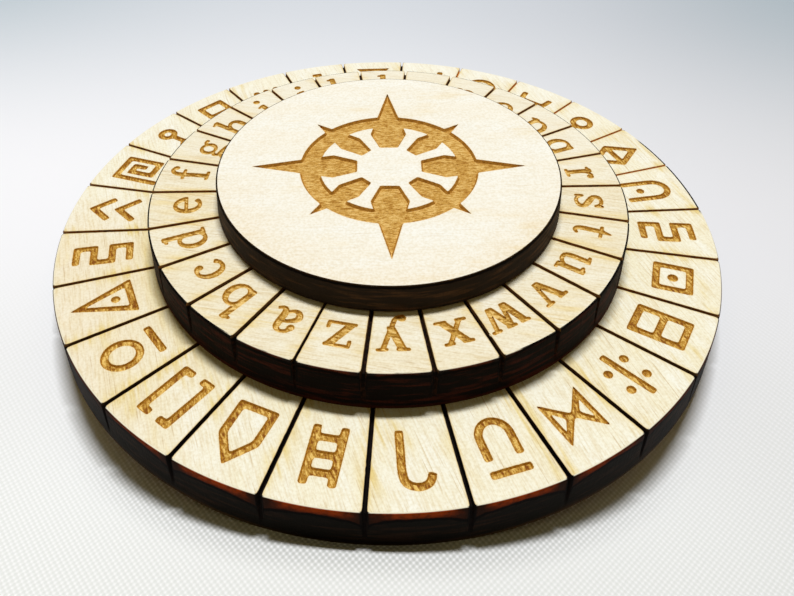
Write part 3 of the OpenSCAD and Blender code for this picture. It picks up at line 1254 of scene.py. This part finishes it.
def charred_edge(name, disc, corner, veneer, veneer_dark, char, ply, band, sway, dip=0.0, foot=None):
    """A laser-cut side: a thin corner, a browned veneer band that darkens downward, and black char.

    band is the veneer's height and sway how much it varies. With a dip, it is narrower at the left and right,
    reaches farther down beside the score lines, and is darker there. foot is the colour at the bottom edge:
    the letter disc's own dark red bottom ply, and on the base a painted reflection of the cloth.
    """
    f = Finish(name, roughness=0.6, specular=0.02)
    front = -disc.radius
    drop = f.minus(disc.high, f.z)
    wander = f.speckle(2.6, detail=3)
    rough = f.speckle(0.6, detail=4)
    striae = f.standing(0.25, 3.0, detail=4)
    plies = f.standing(4.0, 0.45, detail=3)
    edge = f.plus(f.times(f.minus(wander, 0.5), sway), band, f.times(f.minus(rough, 0.5), 0.25))
    browned = f.mix(f.spread(f.y, front * 0.95, front * 0.72, 0.0, 0.85), veneer, veneer_dark)
    browned = f.mix(f.spread(drop, 0.25, 1.0, 0.0, 0.8), browned, veneer_dark)
    if dip:
        gap = f.beside_score(disc.turn)
        edge = f.minus(edge, f.spread(f.y, front * 0.93, front * 0.78, 0.0, 0.45))
        edge = f.plus(edge, f.times(f.math("EXPONENT", f.times(gap, -0.7)), dip))
        beside = f.spread(f.plus(gap, f.times(wander, 2.4)), 1.8, 3.4)
        browned = f.mix(beside, veneer_dark, browned)
    browned = f.mix(f.spread(rough, 0.4, 0.68, 0.0, 0.6), browned, veneer_dark)
    pale_back = f.times(f.fade(drop, 0.04, 0.1), f.spread(f.y, front * 0.3, 0.0))
    top = f.larger(f.fade(drop, 0.01, 0.05), pale_back)
    if disc.burnt_arc:
        start, end = disc.burnt_arc
        after = f.spread(f.direction, end - BURNT_FADE, end)
        outside = f.larger(f.fade(f.direction, start, start + BURNT_FADE), after)
        top = f.times(top, outside)
        browned = f.mix(outside, char, browned)
    browned = f.mix(top, browned, corner)
    black = f.mix(f.spread(plies, 0.46, 0.7, 0.0, 0.9), char, ply)
    black = f.mix(f.spread(striae, 0.5, 0.75, 0.0, 0.5), black, char)
    if foot:
        # a band along the bottom edge; on the base it is a painted reflection of the cloth
        black = f.mix(f.spread(f.z, disc.low + 0.1, disc.low + 0.5, 0.5, 0.0), black, foot)
    depth = f.minus(drop, edge)
    colour = f.mix(f.spread(depth, -0.06, 0.06), browned, black)
    colour = f.mix(f.spread(f.math("ABSOLUTE", depth), 0.1, 0.32, 0.95, 0.0), colour, srgb(4, 3, 2))
    if dip:
        colour = f.mix(f.times(f.fade(gap, 0.26, 0.5), f.fade(drop, 2.0, 2.8)), colour, srgb(7, 5, 4))
    f.bump(f.plus(striae, rough), 0.06, 0.6)
    return f.done(colour)


def plain_wood(name, colour, dark, turn=0.0, roughness=0.7):
    """Wood out of sight: the underside, the hub and the dowel."""
    f = Finish(name, roughness)
    fine = f.grain(turn, 0.3, 3.0, detail=4)
    bands = f.grain(turn, 0.03, 0.4, shift=30)
    mixed = f.mix(f.spread(bands, 0.35, 0.68, 0.0, 0.5), colour, dark)
    mixed = f.mix(f.spread(fine, 0.45, 0.75, 0.0, 0.6), mixed, dark)
    mixed = f.mix(f.times(f.burn(), 0.6), mixed, srgb(96, 58, 28))
    f.bump(fine, 0.05, 0.5)
    return f.done(mixed)


# The discs

LETTER_BASELINE_R = 21.2
LETTER_DEPTH = 0.18
LETTER_WEIGHT = 0.07
MARK_R = 32.7
MARK_DEPTH = 0.2
EMBLEM_DEPTH = 0.3
# Where the wander of the marks' edges and of the star's starts in the noise
MARK_SEED = 30
STAR_SEED = 70
FIRST_LETTER_CELL = 1.5
FIRST_MARK_CELL = 0.5
LETTER_TURN = math.radians(-1.9)
CAP_TURN = math.radians(4)
BASE_NOTCH_H = 3.6
LETTER_NOTCH_H = 3.4
# Height below the cap's face of a row of corners on its plain side
CAP_FOOT_H = 2.04
# Angles of the wood's grain on the wheel
BASE_GRAIN = math.radians(113)
LETTER_GRAIN = math.radians(172)
CAP_GRAIN = math.radians(6)
# The letter disc's lighter score line
LIGHT_SCORE = 25
# Angles between which the base's score lines are lighter, and those between which its top corner is charred
GOLDEN_ARC = (math.radians(13), math.radians(83))
BURNT_ARC = (math.radians(5), math.radians(31))

hub_r = size_of("hub")[0]
dowel_r = size_of("centring_dowel")[0]
letter_r = size_of("letter_disc")[0]
cap_r = size_of("cap_disc")[0]


def cell_angle(cell):
    """Angle of the middle of a cell, counted clockwise from the front score line."""
    return FRONT - cell * CELL


def letter_pocket(i, letter):
    moved = [loop + np.array([LETTER_SHIFT.get(letter, 0.0), 0.0]) for loop in LETTERS[letter]]
    place = cell_angle(FIRST_LETTER_CELL + i), LETTER_BASELINE_R
    return Pocket(moved, LETTER_DEPTH, place, seed=i, weight=LETTER_WEIGHT)


def mark_pocket(i, loops):
    place = cell_angle(FIRST_MARK_CELL + i), MARK_R
    return Pocket(loops, MARK_DEPTH, place, seed=MARK_SEED + i, passes=MARK_CORNER_PASSES)


letter_pockets = [letter_pocket(i, letter) for i, letter in enumerate(LETTERS)]
mark_pockets = [mark_pocket(i, loops) for i, loops in enumerate(MARKS.values())]
star_pocket = Pocket(compass_star(), EMBLEM_DEPTH, (math.pi / 2, 0.0), STAR_SEED)

base_disc = Disc(
    "base_disc", 0.0, BASE_GRAIN, dowel_r + GLUE_GAP, letter_r - SCORE_UNDER, BASE_NOTCH_H, mark_pockets,
    golden_arc=GOLDEN_ARC, burnt_arc=BURNT_ARC,
)
letter_disc = Disc(
    "letter_disc", LETTER_TURN, LETTER_GRAIN, hub_r + RUN_GAP, cap_r - SCORE_UNDER, LETTER_NOTCH_H,
    letter_pockets, light_score=LIGHT_SCORE,
)
cap_disc = Disc("cap_disc", CAP_TURN, CAP_GRAIN, 0.0, None, CAP_FOOT_H, [star_pocket])

underside = plain_wood("underside_veneer", srgb(214, 184, 136), srgb(176, 140, 92), BASE_GRAIN)

base_disc.build("base", {
    FACE: face_wood(
        "base_face", base_disc, srgb(253, 249, 234), srgb(250, 242, 216), srgb(238, 214, 140),
        # painted_shade_r is painted warm shade beside the letter disc, and bleached a painted sheen towards
        # the back
        shift=10, painted_shade_r=27.0, painted_back_sheen=(4, 30, 0.2),
    ),
    SCORE: score_char("base_scored_line", base_disc, srgb(12, 8, 6), srgb(24, 14, 9)),
    FLOOR: engraved_floor("mark_floor", base_disc, srgb(236, 196, 108), srgb(184, 134, 46), srgb(128, 70, 2)),
    WALL: engraved_wall("mark_wall", srgb(210, 152, 54), srgb(162, 103, 16)),
    EDGE: charred_edge(
        "base_edge", base_disc, corner=srgb(248, 238, 210), veneer=srgb(160, 60, 12),
        veneer_dark=srgb(44, 23, 13), char=srgb(22, 19, 15), ply=srgb(44, 30, 22),
        # foot: painted reflection of the cloth on the bottom edge
        band=0.95, sway=0.8, dip=1.0, foot=srgb(78, 56, 28),
    ),
    UNDER: underside,
})
letter_disc.build("letters", {
    FACE: face_wood(
        "letter_face", letter_disc, srgb(249, 242, 223), srgb(244, 232, 203), srgb(240, 217, 158),
        # bleached: a painted sheen towards the back
        shift=200, painted_back_sheen=(-4, 16, 0.25),
    ),
    SCORE: score_char("letter_scored_line", letter_disc, srgb(14, 9, 6), srgb(52, 28, 14), srgb(136, 72, 26)),
    FLOOR: engraved_floor(
        "letter_floor", letter_disc, srgb(240, 203, 126), srgb(194, 147, 59), srgb(134, 84, 4)
    ),
    WALL: engraved_wall("letter_wall", srgb(216, 163, 66), srgb(172, 116, 26)),
    EDGE: charred_edge(
        "letter_edge", letter_disc, corner=srgb(244, 230, 198), veneer=srgb(92, 42, 24),
        veneer_dark=srgb(34, 26, 23), char=srgb(17, 12, 9), ply=srgb(64, 28, 19),
        band=0.28, sway=0.5, dip=0.4, foot=srgb(92, 42, 24),
    ),
    UNDER: underside,
})
cap_disc.build("base", {
    FACE: face_wood(
        "cap_face", cap_disc, srgb(252, 248, 238), srgb(251, 244, 229), srgb(246, 231, 200),
        shift=400, lines=0.35, browner_front_rim=(13, 20),
    ),
    FLOOR: engraved_floor(
        "star_floor", cap_disc, srgb(236, 196, 120), srgb(206, 156, 72), srgb(160, 106, 26), fine=1.9,
    ),
    WALL: engraved_wall("star_wall", srgb(206, 148, 58), srgb(166, 110, 32)),
    EDGE: charred_edge(
        "cap_edge", cap_disc, corner=srgb(196, 146, 78), veneer=srgb(118, 72, 34),
        veneer_dark=srgb(52, 38, 28), char=srgb(46, 37, 29), ply=srgb(84, 60, 40),
        band=0.12, sway=0.2,
    ),
    UNDER: underside,
})

# Pieces that keep their CAD mesh
for node, material in (
    ("hub", plain_wood("hub_ply", srgb(206, 172, 118), srgb(160, 118, 70))),
    ("hub_spacer", plain_wood("spacer_card", srgb(160, 130, 92), srgb(134, 106, 72), roughness=0.85)),
    ("centring_dowel", plain_wood("dowel_beech", srgb(214, 172, 116), srgb(172, 126, 74), math.pi / 2)),
):
    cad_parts[node].data.materials.clear()
    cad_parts[node].data.materials.append(material)


# Floor: a cloth that sags a little at the front left and front right, and bulges at the front

FLOOR_REACH = 900.0
CLOTH_R = 110.0
CLOTH_SPOKES = 720
# Rings of corners under the disc, in the close part around it, and from there to CLOTH_R
HIDDEN_RINGS = [20.0, 34.0, 37.0]
CLOTH_NEAR = 8
NEAR_RINGS = 42
FAR_RINGS = 24
# Middle, spread and height of each soft hollow or bulge
CLOTH_FOLDS = [(-30.0, -28.0, 11.0, -3.0), (30.0, -28.0, 11.0, -3.0), (0.0, -43.0, 8.0, 0.85)]
# Width of the turn from the flat under the disc to the bulge beside it
CLOTH_RISE = 0.8
WEAVE_ACROSS = 0.286
WEAVE_DOWN = 0.318
CLOTH = srgb(255, 253, 252)
CLOTH_PLAIN = srgb(248, 246, 249)
CLOTH_GAP = srgb(232, 232, 228)
# CLOTH_GAP_SHADE and CLOTH_BACK_SHADE are painted shade: darker weave gaps just in front of the disc, and the
# dimmer, bluer far cloth
CLOTH_GAP_SHADE = srgb(194, 194, 189)
CLOTH_BACK_SHADE = srgb(211, 214, 221)


def cloth(name):
    """Plain white woven cloth, with painted shade: darker and bluer towards the back and its corners, greyer
    at the right.
    """
    f = Finish(name, roughness=0.9, specular=0.05)
    across = f.math("COSINE", f.times(f.x, math.pi / WEAVE_ACROSS))
    down = f.math("COSINE", f.times(f.y, math.pi / WEAVE_DOWN))
    knots = f.times(f.plus(f.times(across, down), 1.0), 0.5)
    gaps = f.minus(1.0, f.math("POWER", knots, 1.6))
    # painted shade: whiter at the front, darker towards the back, the back corners and the right, where the
    # light falls off
    front = f.fade(f.y, -48, 5)
    back = f.spread(f.y, 8, 80)
    corner = f.times(back, f.spread(f.math("ABSOLUTE", f.x), 20, 110, 0.0, 0.4))
    right = f.times(f.spread(f.x, -15, 70), f.spread(f.y, -25, 25, 0.17, 0.24))
    # painted shade: darker weave gaps where the light grazes the cloth in front of the disc
    near = f.times(f.fade(f.radius, 39.2, 42.5), f.fade(f.y, -34, -22))
    gap_colour = f.mix(near, CLOTH_GAP, CLOTH_GAP_SHADE)
    colour = f.mix(f.times(gaps, front), f.mix(front, CLOTH_PLAIN, CLOTH), gap_colour)
    colour = f.mix(back, colour, CLOTH_BACK_SHADE)
    colour = f.mix(right, colour, srgb(112, 112, 118))
    colour = f.mix(corner, colour, srgb(84, 138, 150))
    f.bump(f.times(gaps, front), -0.06, 0.7)
    return f.done(colour)


def cloth_height(x, y):
    height = sum(h * math.exp(-((x - cx) ** 2 + (y - cy) ** 2) / (2 * w * w)) for cx, cy, w, h in CLOTH_FOLDS)
    outside = (math.hypot(x, y) - base_disc.radius) / CLOTH_RISE
    return height if height < 0 else height * min(1.0, max(0.0, outside))


def cloth_rings():
    """Radii of the rings of corners in the cloth, which lie close together beside the disc."""
    near = np.linspace(base_disc.radius - 0.3, base_disc.radius + CLOTH_NEAR, NEAR_RINGS)
    far = np.geomspace(base_disc.radius + CLOTH_NEAR + 1, CLOTH_R, FAR_RINGS)
    return [*HIDDEN_RINGS, *near, *far, FLOOR_REACH]


def cloth_mesh():
    rings = cloth_rings()
    spokes = [i * 2 * math.pi / CLOTH_SPOKES for i in range(CLOTH_SPOKES)]
    places = [(0.0, 0.0)] + [(r * math.cos(a), r * math.sin(a)) for r in rings for a in spokes]
    faces = [(0, 1 + i, 1 + (i + 1) % CLOTH_SPOKES) for i in range(CLOTH_SPOKES)]
    for j in range(len(rings) - 1):
        inner = 1 + j * CLOTH_SPOKES
        outer = inner + CLOTH_SPOKES
        for i in range(CLOTH_SPOKES):
            ahead = (i + 1) % CLOTH_SPOKES
            faces.append((inner + i, outer + i, outer + ahead, inner + ahead))
    mesh = bpy.data.meshes.new("floor")
    mesh.from_pydata([(x * MM, y * MM, cloth_height(x, y) * MM) for x, y in places], [], faces)
    mesh.polygons.foreach_set("use_smooth", [True] * len(faces))
    mesh.materials.append(cloth("cloth"))
    return mesh


floor = put("floor", cloth_mesh())


# Light: a wide strip high behind the wheel, a weak softbox overhead, and a dim room

LAMP_HEIGHT = 1500.0


def lamp(name, x, y, width, depth, share, colour):
    """An area lamp above the floor.

    Its place and size are shares of LAMP_HEIGHT, and share is its part of full light on the floor.
    """
    data = bpy.data.lights.new(name, "AREA")
    data.shape = "RECTANGLE"
    data.size = width * LAMP_HEIGHT * MM
    data.size_y = depth * LAMP_HEIGHT * MM
    data.color = colour[:3]
    place = Vector((x, y, 1)) * LAMP_HEIGHT * MM
    away = place.normalized()
    data.energy = share * math.pi**2 * place.length_squared / away.z
    sideways = Vector((0, 1, 0)).cross(away).normalized()
    turned = Matrix((sideways, away.cross(sideways), away)).transposed().to_4x4()
    put(name, data).matrix_world = Matrix.Translation(place) @ turned


lamp("strip", x=0.01, y=0.26, width=0.32, depth=0.08, share=0.98, colour=srgb(246, 250, 255))
lamp("softbox", x=0.0, y=0.2, width=1.3, depth=1.0, share=0.1, colour=srgb(255, 242, 176))

ROOM = srgb(228, 233, 238)
ROOM_GLOW = srgb(255, 226, 140)
ROOM_STRENGTH = 0.05

world = bpy.data.worlds.new("studio")
world.use_nodes = True
room = Nodes(world.node_tree)
paths = room.add("LightPath").outputs
mirrored = room.larger(paths["Is Glossy Ray"], paths["Is Transmission Ray"])
glow = room.tree.nodes["Background"]
room.feed(glow.inputs["Color"], ROOM_GLOW)
room.feed(glow.inputs["Strength"], ROOM_STRENGTH)
backdrop = room.add("Background")
room.feed(backdrop.inputs["Color"], ROOM)
blend = room.add("MixShader")
room.feed(blend.inputs[0], room.larger(paths["Is Camera Ray"], mirrored))
room.feed(blend.inputs[1], glow.outputs[0])
room.feed(blend.inputs[2], backdrop.outputs[0])
room.feed(room.tree.nodes["World Output"].inputs["Surface"], blend.outputs[0])
bpy.context.scene.world = world


# Camera

PICTURE_W = 794
CAMERA_PLACE = (3.5, -74.0, 67.3)
CAMERA_TARGET = (0.53, 0.02, 4.8)
CAMERA_ROLL = math.radians(0.85)
FOCAL_PX = 817
SENSOR = 36.0
SHIFT = (0.0048, -0.0975)

lens = bpy.data.cameras.new("camera")
lens.sensor_width = SENSOR
lens.lens = FOCAL_PX / PICTURE_W * SENSOR
lens.shift_x, lens.shift_y = SHIFT
lens.clip_start = MM
lens.clip_end = 10
camera = put("camera", lens)
place = Vector(CAMERA_PLACE) * MM
aim = Vector(CAMERA_TARGET) * MM - place
pointed = aim.to_track_quat("-Z", "Y").to_matrix().to_4x4()
camera.matrix_world = Matrix.Translation(place) @ pointed @ Matrix.Rotation(CAMERA_ROLL, 4, "Z")
bpy.context.scene.camera = camera

bpy.context.scene.view_settings.view_transform = "Standard"
